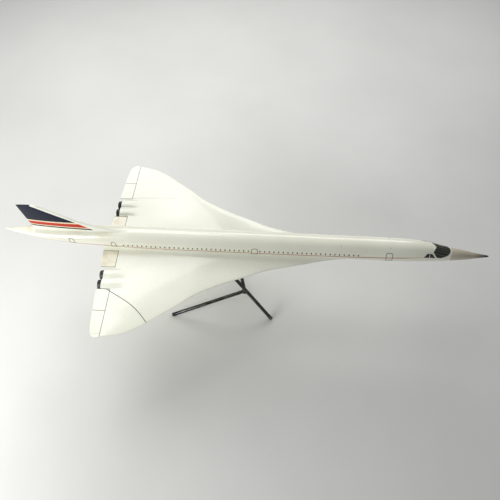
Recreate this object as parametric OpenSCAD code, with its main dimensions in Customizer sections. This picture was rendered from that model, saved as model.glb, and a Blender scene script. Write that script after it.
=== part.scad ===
// Desktop model of a slender delta airliner on a three-legged rod stand.
// Origin: on the table, under the middle of the model. +X is the nose, +Y the port side, +Z up.

/* [Model] */
// Overall length, nose tip to tail tip
model_len = 856; // [780:4:940]
// Height of the cabin axis above the table
axis_h = 187; // [180:1:210]

/* [Fuselage] */
// Width of the cabin tube
cabin_w = 40; // [38:0.5:44]
// Height of the cabin tube
cabin_h = 46; // [44:0.5:50]
// Wall of the moulded shell
shell_wall = 2.5; // [2:0.25:3.5]
// Length of the tapering nose, back to the full cabin section
nose_len = 180; // [160:5:200]
// Length of the tapering tail
tail_len = 296; // [270:2:320]
// Nose tip below the cabin axis
nose_drop = 9; // [6:0.5:12]
// Tail tip above the cabin axis
tail_rise = 13; // [8:0.5:16]
// Length of the separate nose cone
cone_len = 73; // [70:1:80]
// Length of the separate tail cone
tail_cone_len = 48; // [36:1:50]
// Depth of the spigots that locate the two cones in the shell
cone_spigot = 8; // [5:1:12]
// Radial play of the spigots, and of the holes in the shell
cone_play = 0.15; // [0.1:0.05:0.3]
// Length of the dark tip that stands out of the nose cone
probe_len = 7; // [5:0.5:10]
// Diameter of the tip's spigot
probe_d = 1.6; // [1.2:0.1:2]

/* [Windows] */
// Back edge of the windscreen panel, from the nose tip
screen_back = 107.5; // [104:0.5:111]
// Thickness of the windscreen and side panes
pane_t = 0.4; // [0.3:0.1:0.8]
// Glue line under the panes
pane_seat = 0.2; // [0.15:0.05:0.3]
// Angle that the windscreen covers on each side of the crown
screen_wrap = 70; // [66:1:72]
// Depth of the notch in its back edge
screen_notch = 5.5; // [3:0.5:8]

/* [Wings] */
// Span over both wing tips
span = 355.6; // [330:2:380]
// Back end of the wing root, from the tail tip
wing_back = 169; // [160:1:180]
// Length of the wing root
wing_len = 452; // [430:2:470]
// Wing plane below the cabin axis
wing_drop = 15; // [13:0.5:16]
// Thickness of the wing at its root
wing_root_t = 12; // [10:0.5:13]
// Thickness of the wing at its tip
wing_tip_t = 2.4; // [2:0.2:4]
// Width of the spar that joins the wings through the fuselage
spar_w = 18; // [14:1:22]
// Thickness of the spar
spar_t = 3; // [2:0.25:3.5]
// Reach of the spar to each side
spar_reach = 66; // [50:2:72]
// Middle of the spar, from the front end of the wing root
spar_in = 325; // [310:1:340]
// Clearance round the spar in its slots
spar_gap = 0.2; // [0.1:0.05:0.3]

/* [Elevons] */
// Chord of the elevons at the wing root
elevon_chord = 28; // [24:0.5:31]
// Cut line between an elevon and the wing
elevon_gap = 0.5; // [0.3:0.1:0.8]
// Inner end of the inner elevon, from the middle
elevon_in = 21; // [20.5:0.5:23]
// Width of the inner elevon
elevon_inner_w = 32; // [28:0.5:33]
// Width of the middle elevon
elevon_mid_w = 38; // [30:0.5:40]
// Outer end of the outer elevon, from the wing tip
elevon_out_in = 5.8; // [4:0.2:8]

/* [Engines] */
// Middle of each nacelle, from the middle of the model
nacelle_y = 74.5; // [74:0.5:76]
// Width of a nacelle
nacelle_w = 38; // [36:0.5:38.5]
// Lowest face of the nacelle below the cabin axis
nacelle_drop = 37; // [34:0.5:40]
// Front lip of the nacelle, from the front end of the wing root
nacelle_in = 275; // [262:1:280]
// Length of a nacelle
nacelle_len = 165; // [163:1:175]
// Length of the wing's cut-out over the exhausts
notch_len = 27; // [24:0.5:30]
// Depth of the exhaust openings
exhaust_depth = 20; // [12:1:24]
// Axis of the exhausts below the cabin axis
exhaust_drop = 22; // [20:0.5:24]
// Outer diameter of an exhaust nozzle
nozzle_d = 17.5; // [16:0.5:18.5]
// Length of an exhaust nozzle
nozzle_len = 7.5; // [6:0.5:12]
// Wall of a nozzle
nozzle_wall = 1.2; // [0.8:0.1:2]
// Depth of the intake openings
intake_depth = 45; // [30:1:60]
// Wall of the nacelle round its intakes
intake_wall = 1.8; // [1.4:0.1:2.4]

/* [Fin] */
// Height of the fin tip above the cabin axis
fin_h = 86.5; // [78:0.5:94]
// Length of the fin root with its long front fillet
fin_root = 168; // [150:2:190]
// Back edge of the fin, from the tail tip
fin_back = 53.5; // [52:0.5:60]
// Thickness of the fin at its root
fin_t = 7; // [5:0.5:9]

/* [Belly socket] */
// Pivot axis of the model, from the front end of the wing root
pivot_in = 260; // [250:1:270]
// Length of the block inside the belly
block_len = 56; // [44:1:64]
// Height of the block
block_h = 22; // [20:1:24]
// Outer diameter of the brass socket bush
bush_d = 8; // [7.5:0.5:9]
// Diameter of the bush flange
flange_d = 14; // [13:0.5:16]
// Thickness of the bush flange
flange_t = 2; // [1.5:0.25:3]
// Bush flange below the belly line
flange_proud = 0.5; // [0.3:0.1:1]
// Length of the screws that hold the block
screw_len = 14; // [10:1:16]
// Diameter of these screws
screw_d = 3; // [2.5:0.5:3.5]
// Distance of a screw from the pivot axis
screw_at = 18; // [15:1:20]

/* [Stand] */
// Diameter of the stand's rods
rod_d = 7; // [6:0.25:7.5]
// Diameter of the pivot pin at the top of the mast
pin_d = 5; // [4:0.25:5.5]
// Radial running clearance of the pin
pin_play = 0.08; // [0.03:0.01:0.1]
// Reach of the pin above the collar
pin_len = 18; // [14:0.5:19]
// Thickness of the nylon washer that the model turns on
washer_t = 1.5; // [1:0.25:3]
// Length of the collar below the washer
collar_len = 6; // [5:0.5:8]
// Diameter of the collar
collar_d = 14; // [12:0.5:16]
// Height of the hub above the table
hub_h = 64; // [56:1:72]
// Slope of the mast above the table, in degrees
mast_slope = 45; // [42:1:50]
// Diameter of the ball elbow where the mast turns upright
elbow_d = 8; // [7.8:0.1:9]
// Upright neck of the mast between the elbow's middle and the collar
neck_len = 14.3; // [10:0.1:18]
// Plan reach of each rear leg from the mast
leg_reach = 156; // [140:1:165]
// Plan angle between the mast and each rear leg, in degrees
leg_spread = 45.5; // [40:0.5:50]
// Heading of the stand under the model, in degrees
stand_heading = 148.5; // [120:0.5:180]
// Diameter of the ball that joins the rods
hub_d = 12; // [11.5:0.5:14]
// Diameter of the spigots that enter the ball
spigot_d = 3.5; // [3:0.25:4]
// Length of the rubber tips
tip_len = 5.5; // [5:0.5:10]
// Wall of the rubber tips
tip_wall = 0.4; // [0.4:0.1:1]

/* [Hidden] */

sides = 32;
eps = 0.01;
nose_x = model_len / 2;
wing_front = model_len - wing_back - wing_len;
nacelle_front = wing_front + nacelle_in;
nacelle_back = nacelle_front + nacelle_len;
spar_at = wing_front + spar_in;
pivot_at = wing_front + pivot_in;

// Form of the nose: fraction of its length, then of the half width, the top rise and the belly drop
nose_form = [[0, 0.06, 0.0375, 0.086], [0.05, 0.132, 0.076, 0.212], [0.11, 0.208, 0.14, 0.39],
    [0.18, 0.315, 0.222, 0.53], [0.25, 0.42, 0.318, 0.645], [0.39, 0.6, 0.478, 0.73],
    [0.47, 0.688, 0.56, 0.755], [0.56, 0.784, 0.722, 0.8], [0.67, 0.875, 0.86, 0.875],
    [0.83, 0.965, 0.97, 0.98], [1, 1, 1, 1]];
// The same for the tail, counted from its tip
tail_form = [[0, 0.045, 0.08, 0.022], [0.14, 0.46, 0.245, 0.232], [0.29, 0.74, 0.46, 0.503],
    [0.46, 0.86, 0.69, 0.71], [0.63, 0.92, 0.88, 0.834], [0.80, 0.965, 0.98, 0.945], [1, 1, 1, 1]];
// Wing plan: fraction of the half span, then of the wing's length at the front and the back edge
wing_plan = [[0.067, 0, 1], [0.101, 0.0885, 1], [0.141, 0.162, 1], [0.187, 0.23, 0.998],
    [0.25, 0.3376, 0.995], [0.328, 0.418, 0.992], [0.43, 0.52, 0.99], [0.547, 0.613, 0.988],
    [0.664, 0.676, 0.985], [0.781, 0.741, 0.981], [0.883, 0.799, 0.977], [0.953, 0.8516, 0.971],
    [0.984, 0.9, 0.965], [1, 0.94, 0.957]];
// Wing section: fraction of the chord, then of the half thickness
section_form = [[0, 0], [0.008, 0.2], [0.03, 0.38], [0.07, 0.55], [0.14, 0.74], [0.25, 0.9], [0.4, 1],
    [0.55, 0.93], [0.7, 0.74], [0.84, 0.46], [0.93, 0.27], [1, 0.12]];
// Fin: fraction of its height, then how far the front and the back edge lie ahead of the root's back
fin_plan = [[0, 1, 0], [0.03, 0.884, 0.001], [0.067, 0.813, 0.002], [0.126, 0.742, 0.003],
    [0.19, 0.67, 0.004], [0.26, 0.607, 0.005], [0.42, 0.495, 0.008], [0.567, 0.43, 0.01],
    [0.75, 0.339, 0.013], [1, 0.2, 0.017]];

// Slope of a table's column at row i
function slope(t, c, i) = let (a = max(i - 1, 0), b = min(i + 1, len(t) - 1))
    (t[b][c] - t[a][c]) / (t[b][0] - t[a][0]);
// Smooth curve through a table's column
function smooth(t, c, v, i = 0) = i < len(t) - 2 && v > t[i + 1][0] ? smooth(t, c, v, i + 1) :
    let (h = t[i + 1][0] - t[i][0], u = min(1, max(0, (v - t[i][0]) / h)))
    (2 * u ^ 3 - 3 * u ^ 2 + 1) * t[i][c] + (u ^ 3 - 2 * u ^ 2 + u) * h * slope(t, c, i)
    + (3 * u ^ 2 - 2 * u ^ 3) * t[i + 1][c] + (u ^ 3 - u ^ 2) * h * slope(t, c, i + 1);

// Fuselage half width, top and belly at station s, counted back from the nose tip
function part_of(s, c) = s < nose_len ? smooth(nose_form, c, s / nose_len) :
    s > model_len - tail_len ? smooth(tail_form, c, (model_len - s) / tail_len) : 1;
function tip_z(s) = s < nose_len ? -nose_drop : s > model_len - tail_len ? tail_rise : 0;
function half_w(s) = cabin_w / 2 * part_of(s, 1);
function top_z(s) = tip_z(s) + (cabin_h / 2 - tip_z(s)) * part_of(s, 2);
function belly_z(s) = tip_z(s) - (cabin_h / 2 + tip_z(s)) * part_of(s, 3);
function ring(s, inset) = let (w = max(half_w(s) - inset, 0.2), m = (top_z(s) + belly_z(s)) / 2,
    h = max((top_z(s) - belly_z(s)) / 2 - inset, 0.2))
    [for (a = [0:360 / sides:359]) [nose_x - s, w * cos(a), axis_h + m + h * sin(a)]];

// Stations between two ends: those of the tables and the points halfway between them
function halved(v) = [for (i = [0:len(v) - 2]) each [v[i], (v[i] + v[i + 1]) / 2], v[len(v) - 1]];
function stations(from, to) = let (all = concat(halved([for (r = nose_form) r[0] * nose_len]),
    halved([for (i = [len(tail_form) - 1:-1:0]) model_len - tail_form[i][0] * tail_len])))
    concat([from], [for (s = all) if (s > from + least_step && s < to - least_step) s], [to]);
least_step = 0.5;
function tube(from, to, inset = 0) = [for (s = stations(from, to)) ring(s, inset)];
function backwards(v) = [for (i = [len(v) - 1:-1:0]) v[i]];

// Triangles of the strip between two rows of point numbers
function sew(a, b) = [for (k = [0:len(a) - 2]) each [[a[k], b[k], b[k + 1]], [a[k], b[k + 1], a[k + 1]]]];
function loop(i, n) = [for (k = [0:n]) i * n + k % n];
function bands(n, m) = [for (i = [0:m - 2]) each sew(loop(i, n), loop(i + 1, n))];

// Closed skin through rings of equal size, which runs back to its first ring where looped is true
module skin(rings, looped = false) {
    n = len(rings[0]);
    m = len(rings);
    caps = looped ? sew(loop(m - 1, n), loop(0, n)) :
        [[for (k = [0:n - 1]) k], [for (k = [n - 1:-1:0]) (m - 1) * n + k]];
    polyhedron(points = [for (r = rings) each r], faces = concat(caps, bands(n, m)), convexity = 8);
}

// Skin through rings that each hold an upper row and then the lower row backwards. The first ring is
// closed over the given inner rows, which lie between its two rows and leave out both end columns.
module blade(rings, inner = []) {
    n2 = len(rings[0]);
    n = n2 / 2;
    m = len(rings);
    up = [for (k = [0:n - 1]) k];
    low = [for (k = [0:n - 1]) n2 - 1 - k];
    last = (m - 1) * n2;
    mid = [for (j = [0:len(inner) - 1]) [for (k = [0:n - 3]) m * n2 + j * (n - 2) + k]];
    up_mid = [for (k = [1:n - 2]) k];
    low_mid = [for (k = [1:n - 2]) n2 - 1 - k];
    rows = concat([up_mid], mid, [low_mid]);
    r = len(rows);
    root = len(inner) == 0 ? sew(low, up) : concat([for (j = [r - 1:-1:1]) each sew(rows[j], rows[j - 1])],
        [for (j = [0:r - 2]) [up[0], rows[j][0], rows[j + 1][0]]], [[up[0], low[1], low[0]]],
        [for (j = [0:r - 2]) [up[n - 1], rows[j + 1][n - 3], rows[j][n - 3]]],
        [[up[n - 1], low[n - 1], low[n - 2]]]);
    polyhedron(points = concat([for (g = rings) each g], [for (g = inner) each g]),
        faces = concat(root, bands(n2, m), sew([for (k = up) last + k], [for (k = low) last + k])),
        convexity = 8);
}

// Block between two stations, two widths and two heights over the cabin axis
module zone(s, y, z) {
    translate([nose_x - s[1], y[0], axis_h + z[0]]) cube([s[1] - s[0], y[1] - y[0], z[1] - z[0]]);
}

// ---- Fuselage

tail_cut = model_len - tail_cone_len;

module fuselage_shell() color("#f2efe6") difference() {
    skin(concat(tube(cone_len, tail_cut), backwards(tube(cone_len, tail_cut, shell_wall))), looped = true);
    spar_slot();
    pivot_bore(flange_d / 2 + cone_play, -cabin_h / 2 - flange_proud - 1,
        -cabin_h / 2 - flange_proud + flange_t);
    pivot_bore(bush_d / 2 + cone_play, -cabin_h / 2 - 1, -cabin_h / 2 + shell_wall + 1);
    for (side = [-1, 1]) translate([side * screw_at, 0, 0])
        pivot_bore(screw_d / 2 + cone_play, -cabin_h / 2 - 1, -cabin_h / 2 + shell_wall + 1);
}

// Point over the fuselage at station s and an angle from the crown, raised by lift
function over(s, a, lift) = let (w = half_w(s) + lift, m = (top_z(s) + belly_z(s)) / 2,
    h = (top_z(s) - belly_z(s)) / 2 + lift) [nose_x - s, w * sin(a), axis_h + m + h * cos(a)];

// Thin pane on the fuselage: each edge row is [angle from the crown, front station, back station]
module pane(edges, steps) {
    row = function (e, lift) [for (k = [0:steps]) over(e[1] + (e[2] - e[1]) * k / steps, e[0], lift)];
    blade([for (e = edges) concat(row(e, pane_seat + pane_t), backwards(row(e, pane_seat)))]);
}

module nose_cone() color("#e9e3d3") difference() {
    skin(concat(tube(probe_len, cone_len), tube(cone_len, cone_len + cone_spigot, shell_wall + cone_play)));
    translate([nose_x - 2 * probe_len - 0.2, 0, probe_z]) rotate([0, 90, 0])
        cylinder(d = probe_d, h = 2 * probe_len, $fn = 24);
}

probe_z = axis_h + (top_z(probe_len) + belly_z(probe_len)) / 2;

// Blunt dark tip that carries the nose's taper on, with a spigot inside the cone
module nose_probe() color("#2c2a28") translate([nose_x, 0, probe_z]) rotate([0, -90, 0])
    rotate_extrude($fn = 48) polygon([[0, 0], [0.6 * half_w(0), 0.1], [half_w(0), 0.8],
        [half_w(probe_len / 2), probe_len / 2], [half_w(probe_len), probe_len],
        [probe_d / 2, probe_len], [probe_d / 2, 2 * probe_len], [0, 2 * probe_len]]);

// The windscreen wraps over the nose behind the cone, with a notch in its back edge on the crown
module windscreen() color("#1c1f20") {
    front = cone_len + 1.5;
    pane([for (a = [-screen_wrap:screen_wrap / 10:screen_wrap]) let (u = abs(a) / screen_wrap)
        [a, front + 10.5 * u ^ 2 + 7 * u ^ 6,
            screen_back - screen_notch * (1 - min(1, 2.2 * u)) - 8.5 * max(0, (u - 0.55) / 0.45)]], 8);
}

// Side panes: lower and upper edge of each, as angle from the crown, then front and back end behind the
// windscreen's back edge
pane_form = [[[71, -5, 4.2], [47, 2.7, 6.9]], [[71, 6.4, 15.7], [47, 8.1, 11.2]]];

module side_panes() color("#1c1f20") for (side = [-1, 1], form = pane_form) {
    rows = [for (v = [0, 0.33, 0.67, 1]) let (e = form[1] * v + form[0] * (1 - v))
        [side * e[0], screen_back + e[1], screen_back + e[2]]];
    pane(side > 0 ? backwards(rows) : rows, 4);
}

module tail_cone() color("#f2efe6")
    skin(concat(tube(tail_cut - cone_spigot, tail_cut, shell_wall + cone_play), tube(tail_cut, model_len)));

// ---- Fin

fin_seat = 0.15;
fin_u = [0, 0.06, 0.2, 0.45, 0.75, 0.94, 1];
function fin_fat(u) = 0.05 + 0.95 * sqrt(max(0, 1 - (2 * u - 1) ^ 2)) * (1.15 - 0.35 * u);
// Section of the fin at a fraction of its height. The root section follows the crown of the fuselage.
function fin_level(x, f) = let (low = fin_seat + top_z(nose_x - x)) axis_h + low + f * (fin_h - low);
function fin_ring(f) = let (t = fin_t / 2 * (1 - 0.62 * f), x0 = fin_back - model_len / 2,
    front = smooth(fin_plan, 1, f) * fin_root, back = smooth(fin_plan, 2, f) * fin_root,
    row = function (side) [for (u = fin_u) let (x = x0 + front + (back - front) * u)
        [x, side * t * fin_fat(u), fin_level(x, f)]])
    concat(row(-1), backwards(row(1)));

module fin() color("#f2efe6")
    blade([for (f = [0, 0.02, 0.05, 0.1, 0.17, 0.26, 0.37, 0.5, 0.66, 0.84, 1]) fin_ring(f)]);

// ---- Wings

function wing_t(f) = wing_root_t + (wing_tip_t - wing_root_t) * min(1, 1.25 * f ^ 0.9);
function lead_at(y) = wing_front + smooth(wing_plan, 1, y / (span / 2)) * wing_len;
function trail_at(y) = wing_front + smooth(wing_plan, 2, y / (span / 2)) * wing_len;
function half_t(y, c) = let (chord = trail_at(y) - lead_at(y))
    min(wing_t(y / (span / 2)), 0.3 * chord) / 2 * smooth(section_form, 1, c);

// Rows of the section at distance y between two stations, over (side 1) or under (side -1) the wing plane
function section_row(y, from, to, u, side) = let (a = lead_at(y), c = trail_at(y) - a)
    [for (v = u) let (s = from + (to - from) * v)
        [nose_x - s, y, axis_h - wing_drop + side * half_t(y, min(1, max(0, (s - a) / c)))]];
function section_ring(y, from, to, u) =
    concat(section_row(y, from, to, u, 1), backwards(section_row(y, from, to, u, -1)));

hinge_root = wing_front + wing_len - elevon_chord;
hinge_tip = hinge_root - 2.5;
function hinge_at(y) = hinge_root + (hinge_tip - hinge_root) * y / (span / 2);

notch_front = nacelle_back - notch_len;
notch_in = nacelle_y - nacelle_w / 2 - elevon_gap;
notch_out = nacelle_y + nacelle_w / 2 + elevon_gap;
elevon_mid_in = notch_out + 1;
elevon_split = elevon_mid_in + elevon_mid_w;
elevon_out = span / 2 - elevon_out_in;

// Back edge of the fixed wing at distance y
function back_at(y) = y < elevon_in || y > elevon_out ? trail_at(y) :
    y > notch_in && y < notch_out ? notch_front : hinge_at(y);

// Distances from the middle at which the wing has a section, with a pair at each step of its back edge
step_w = 0.2;
steps_y = [elevon_in, notch_in, notch_out, elevon_out];
plain_y = [for (f = [0.13, 0.145, 0.164, 0.187, 0.218, 0.25, 0.289, 0.328, 0.38, 0.43, 0.49, 0.547, 0.605,
    0.664, 0.72, 0.781, 0.832, 0.883, 0.92, 0.95, 0.968, 0.99, 1]) f * span / 2];
function in_order(v) = len(v) < 2 ? v : let (p = v[floor(len(v) / 2)])
    concat(in_order([for (a = v) if (a < p) a]), [p], in_order([for (a = v) if (a > p) a]));
section_y = in_order(concat([for (y = plain_y) if (min([for (q = steps_y) abs(q - y)]) > 4 * step_w) y],
    [for (q = steps_y) each [q - step_w, q + step_w]]));
section_u = [for (r = section_form) r[0]];

// Side of the fuselage at station s and a height over the cabin axis
function side_y(s, z) = let (m = (top_z(s) + belly_z(s)) / 2, h = (top_z(s) - belly_z(s)) / 2)
    half_w(s) * sqrt(max(0, 1 - ((z - m) / h) ^ 2)) + root_seat;
root_seat = 0.4;
root_y = 0.375 * cabin_w;

module wing() difference() {
    rows = 5;
    far = trail_at(root_y);
    grid = [for (j = [0:rows]) let (v = 1 - 2 * j / rows) [for (u = section_u)
        let (s = lead_at(root_y) + (far - lead_at(root_y)) * u, z = v * half_t(root_y, u) - wing_drop)
        [nose_x - s, max(0.5, side_y(s, z)), axis_h + z]]];
    n = len(section_u);
    blade(concat([concat(grid[0], backwards(grid[rows]))],
        [for (y = section_y) section_ring(y, lead_at(y), back_at(y), section_u)]),
        [for (j = [1:rows - 1]) [for (k = [1:n - 2]) grid[j][k]]]);
    spar_slot();
}

module elevon(y0, y1) {
    inside = [for (y = plain_y) if (y > y0 + 2 * elevon_gap && y < y1 - 2 * elevon_gap) y];
    ys = concat([y0 + elevon_gap / 2], inside, [y1 - elevon_gap / 2]);
    blade([for (y = ys) section_ring(y, hinge_at(y) + elevon_gap, trail_at(y), [0, 0.25, 0.5, 0.75, 1])]);
}

module mirrored() mirror([0, 1, 0]) children();

module wing_port() color("#f2efe6") wing();
module wing_starboard() color("#f2efe6") mirrored() wing();

module spar_slot() {
    zone([spar_at - spar_w / 2 - spar_gap, spar_at + spar_w / 2 + spar_gap],
        [-spar_reach - spar_gap, spar_reach + spar_gap],
        [-wing_drop - spar_t / 2 - spar_gap, -wing_drop + spar_t / 2 + spar_gap]);
}

module wing_spar() color("#b98f5a") zone([spar_at - spar_w / 2, spar_at + spar_w / 2],
    [-spar_reach, spar_reach], [-wing_drop - spar_t / 2, -wing_drop + spar_t / 2]);

module elevon_inner_port() color("#efe9d8") elevon(elevon_in, elevon_in + elevon_inner_w);
module elevon_middle_port() color("#f2efe6") elevon(elevon_mid_in, elevon_split);
module elevon_outer_port() color("#f2efe6") elevon(elevon_split, elevon_out);
module elevon_inner_starboard() color("#efe9d8") mirrored() elevon(elevon_in, elevon_in + elevon_inner_w);
module elevon_middle_starboard() color("#f2efe6") mirrored() elevon(elevon_mid_in, elevon_split);
module elevon_outer_starboard() color("#f2efe6") mirrored() elevon(elevon_split, elevon_out);

// ---- Engines

intake_rake = 12;
boat_tail = 75;
intake_h = nacelle_drop - wing_drop - wing_root_t / 2 - 2 * intake_wall + 2;

// Side view of a nacelle. Its top lies against the underside of the wing.
module nacelle_block() {
    y = nacelle_y - nacelle_w / 2;
    c = function (s) (s - lead_at(y)) / (trail_at(y) - lead_at(y));
    top = [for (k = [0:10]) let (s = nacelle_front + (notch_front - nacelle_front) * k / 10)
        [nose_x - s, -wing_drop - half_t(y, c(s))]];
    translate([0, nacelle_y + nacelle_w / 2, axis_h]) rotate([90, 0, 0]) linear_extrude(nacelle_w)
        polygon(concat([[nose_x - nacelle_front - intake_rake, -nacelle_drop],
            [nose_x - nacelle_back + boat_tail, -nacelle_drop],
            [nose_x - nacelle_back, -exhaust_drop - nozzle_d / 2],
            [nose_x - nacelle_back, -wing_drop - 1], [nose_x - notch_front - 0.5, -wing_drop - 1]],
            backwards(top)));
}

// Rounded fairing over one exhaust, its axis along X
module fairing(y) {
    r = nozzle_d / 2 + 0.4;
    l = nacelle_back - notch_front - 0.5;
    translate([nose_x - nacelle_back, y, axis_h - exhaust_drop]) rotate([0, 90, 0]) rotate_extrude($fn = 48)
        polygon(concat([[0, 0], [r, 0]], [for (k = [1:6]) [r - 2.2 * (k / 6) ^ 2, l * k / 6]], [[0, l]]));
}

function engine_y(k) = nacelle_y + k * nozzle_d * 0.508;

module nacelle() difference() {
    union() {
        nacelle_block();
        for (k = [-1, 1]) fairing(engine_y(k));
    }
    for (k = [-1, 1]) {
        half = nacelle_w / 4 - intake_wall * 0.75;
        mid = nacelle_y + k * nacelle_w / 4 - k * intake_wall * 0.25;
        zone([nacelle_front - 1, nacelle_front + intake_depth], [mid - half, mid + half],
            [-nacelle_drop + intake_wall, -nacelle_drop + intake_wall + intake_h]);
        translate([nose_x - nacelle_back - eps, engine_y(k), axis_h - exhaust_drop]) rotate([0, 90, 0])
            cylinder(d = nozzle_d - 4 * nozzle_wall, h = exhaust_depth, $fn = 48);
    }
}

module nozzles() for (k = [-1, 1])
    translate([nose_x - nacelle_back, engine_y(k), axis_h - exhaust_drop]) rotate([0, -90, 0])
        rotate_extrude($fn = 48) polygon([[nozzle_d / 2 - 2 * nozzle_wall, 0], [nozzle_d / 2, 0],
            [nozzle_d / 2, nozzle_len * 0.35], [nozzle_d / 2 - 1, nozzle_len],
            [nozzle_d / 2 - 1 - nozzle_wall, nozzle_len],
            [nozzle_d / 2 - 2 * nozzle_wall, nozzle_len * 0.3]]);

module nacelle_port() color("#f2efe6") nacelle();
module nacelle_starboard() color("#f2efe6") mirrored() nacelle();
module nozzles_port() color("#1d1b1a") nozzles();
module nozzles_starboard() color("#1d1b1a") mirrored() nozzles();

// ---- Belly socket

pivot_x = nose_x - pivot_at;
belly = axis_h - cabin_h / 2;
flange_z = belly - flange_proud;
socket_depth = pin_len - washer_t + 0.5;

// Round hole on the pivot axis between two heights over the cabin axis
module pivot_bore(r, z0, z1) {
    translate([pivot_x, 0, axis_h + z0]) cylinder(r = r, h = z1 - z0, $fn = 48);
}

module belly_block() color("#c9a877") difference() {
    intersection() {
        translate([pivot_x - block_len / 2, 0, 0]) rotate([90, 0, 90]) linear_extrude(block_len)
            polygon([for (p = ring(model_len / 2, shell_wall)) [p[1], p[2]]]);
        translate([pivot_x - block_len / 2 - 1, -cabin_w / 2, belly]) cube([block_len + 2, cabin_w, block_h]);
    }
    translate([pivot_x, 0, belly]) cylinder(d = bush_d, h = flange_z + socket_depth - belly, $fn = 48);
    for (side = [-1, 1]) translate([pivot_x + side * screw_at, 0, belly])
        cylinder(d = screw_d, h = screw_len, $fn = 24);
}

module block_screws() color("#8d8f90") for (side = [-1, 1])
    translate([pivot_x + side * screw_at, 0, belly + 0.2])
        cylinder(d = screw_d, h = screw_len - 0.2, $fn = 24);

module socket_bush() color("#b08d3f") translate([pivot_x, 0, flange_z]) difference() {
    union() {
        cylinder(d = flange_d, h = flange_t, $fn = 48);
        cylinder(d = bush_d, h = socket_depth, $fn = 48);
    }
    translate([0, 0, -1]) cylinder(r = pin_d / 2 + pin_play, h = socket_depth + 2, $fn = 48);
}

// ---- Stand

collar_top = flange_z - washer_t;
foot_z = rod_d / 2;
foot_back = (hub_h - foot_z) / tan(mast_slope);
knee_h = collar_top - collar_len - neck_len;
knee_out = (knee_h - hub_h) / tan(mast_slope);
ball_off = rod_d / 2 + 3;

// Places the stand's own frame, hub over its origin and mast rising along +X, under the pivot axis
module stand_frame() {
    translate([pivot_x, 0, 0]) rotate([0, 0, stand_heading]) translate([-knee_out, 0, 0]) children();
}

// Turns +Z into the mast's direction at the hub
module along_mast() {
    translate([0, 0, hub_h]) rotate([0, 90 - mast_slope, 0]) children();
}

module mast_rod() {
    low = norm([foot_back, hub_h - foot_z]);
    high = norm([knee_out, knee_h - hub_h]);
    along_mast() translate([0, 0, -low]) cylinder(d = rod_d, h = low + high, $fn = 48);
    translate([knee_out, 0, knee_h]) {
        sphere(d = elbow_d, $fn = 48);
        cylinder(d = rod_d, h = collar_top - knee_h, $fn = 48);
        cylinder(d = pin_d, h = collar_top - knee_h + pin_len, $fn = 48);
    }
}

module mast() color("#3a3d40") stand_frame() difference() {
    mast_rod();
    along_mast() translate([0, 0, -norm([foot_back, hub_h - foot_z]) - 1])
        cylinder(d = rod_d + 1, h = 1 + tip_len / 4, $fn = 48);
    hub_screw_form(0.05);
}

module mast_collar() color("#4a4d50") stand_frame() translate([knee_out, 0, collar_top - collar_len])
    difference() {
        cylinder(d = collar_d, h = collar_len, $fn = 64);
        translate([0, 0, -1]) cylinder(d = rod_d, h = collar_len + 2, $fn = 48);
        translate([0, 0, collar_len / 2]) rotate([0, 90, 0]) cylinder(d = 2.5, h = collar_d, $fn = 24);
    }

module collar_screw() color("#232425") stand_frame()
    translate([knee_out + rod_d / 2 + 0.05, 0, collar_top - collar_len / 2]) rotate([0, 90, 0])
        cylinder(d = 2.5, h = collar_d / 2 - rod_d / 2 - 0.5, $fn = 24);

module swivel_washer() color("#e8e6df") translate([pivot_x, 0, collar_top]) difference() {
    cylinder(d = flange_d, h = washer_t, $fn = 64);
    translate([0, 0, -1]) cylinder(r = pin_d / 2 + pin_play, h = washer_t + 2, $fn = 48);
}

ball_x = ball_off * sin(mast_slope);
ball_z = hub_h - ball_off * cos(mast_slope);
leg_drop = ball_z - foot_z;
leg_plan = leg_reach - ball_x;
leg_l = norm([leg_plan, leg_drop]);
leg_start = hub_d / 2 - 0.5;
spigot_in = 0.6 * hub_d / 2;

// Turns +Z into the direction of one rear leg, from the middle of the hub ball
module along_leg(side) {
    translate([ball_x, 0, ball_z]) rotate([0, 0, side * leg_spread])
        rotate([0, 90 + atan(leg_drop / leg_plan), 0]) children();
}

module leg(side) color("#3a3d40") stand_frame() along_leg(side) {
    translate([0, 0, leg_start]) cylinder(d = rod_d, h = leg_l - leg_start - tip_len / 4, $fn = 48);
    translate([0, 0, spigot_in + 0.1]) cylinder(d = spigot_d, h = leg_start - spigot_in + 1, $fn = 32);
}

module hub_ball() color("#7a6a52") stand_frame() difference() {
    translate([ball_x, 0, ball_z]) sphere(d = hub_d, $fn = 64);
    along_mast() cylinder(d = rod_d, h = 4 * hub_d, center = true, $fn = 48);
    for (side = [-1, 1]) along_leg(side) {
        translate([0, 0, spigot_in]) cylinder(d = spigot_d, h = hub_d, $fn = 32);
        translate([0, 0, leg_start]) cylinder(d = rod_d + 0.1, h = hub_d, $fn = 48);
    }
    hub_screw_form(0.05);
}

module hub_screw_form(play = 0) {
    translate([ball_x, 0, ball_z]) rotate([0, 180 - mast_slope, 0]) {
        translate([0, 0, hub_d / 2 - 2]) cylinder(d = 2.8 + 2 * play, h = 2 + 10 * play, $fn = 32);
        translate([0, 0, -ball_off - 0.5])
            cylinder(d = 1.8 + 2 * play, h = hub_d / 2 + ball_off - 1, $fn = 24);
    }
}

module hub_screw() color("#8d8f90") stand_frame() intersection() {
    hub_screw_form();
    translate([ball_x, 0, ball_z]) sphere(d = 2 * ball_off + 2, $fn = 48);
}

// Rubber tip over a rod's end, flat where it meets the table
module tip() {
    difference() {
        translate([0, 0, -tip_len]) cylinder(d = rod_d + 2 * tip_wall, h = tip_len + 3, $fn = 48);
        translate([0, 0, -tip_len - 1]) cylinder(d = rod_d, h = tip_len * 0.75 + 1, $fn = 48);
    }
}

module above_table() intersection() {
    children();
    translate([-model_len / 2, -model_len / 2, 0]) cube(model_len);
}

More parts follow.
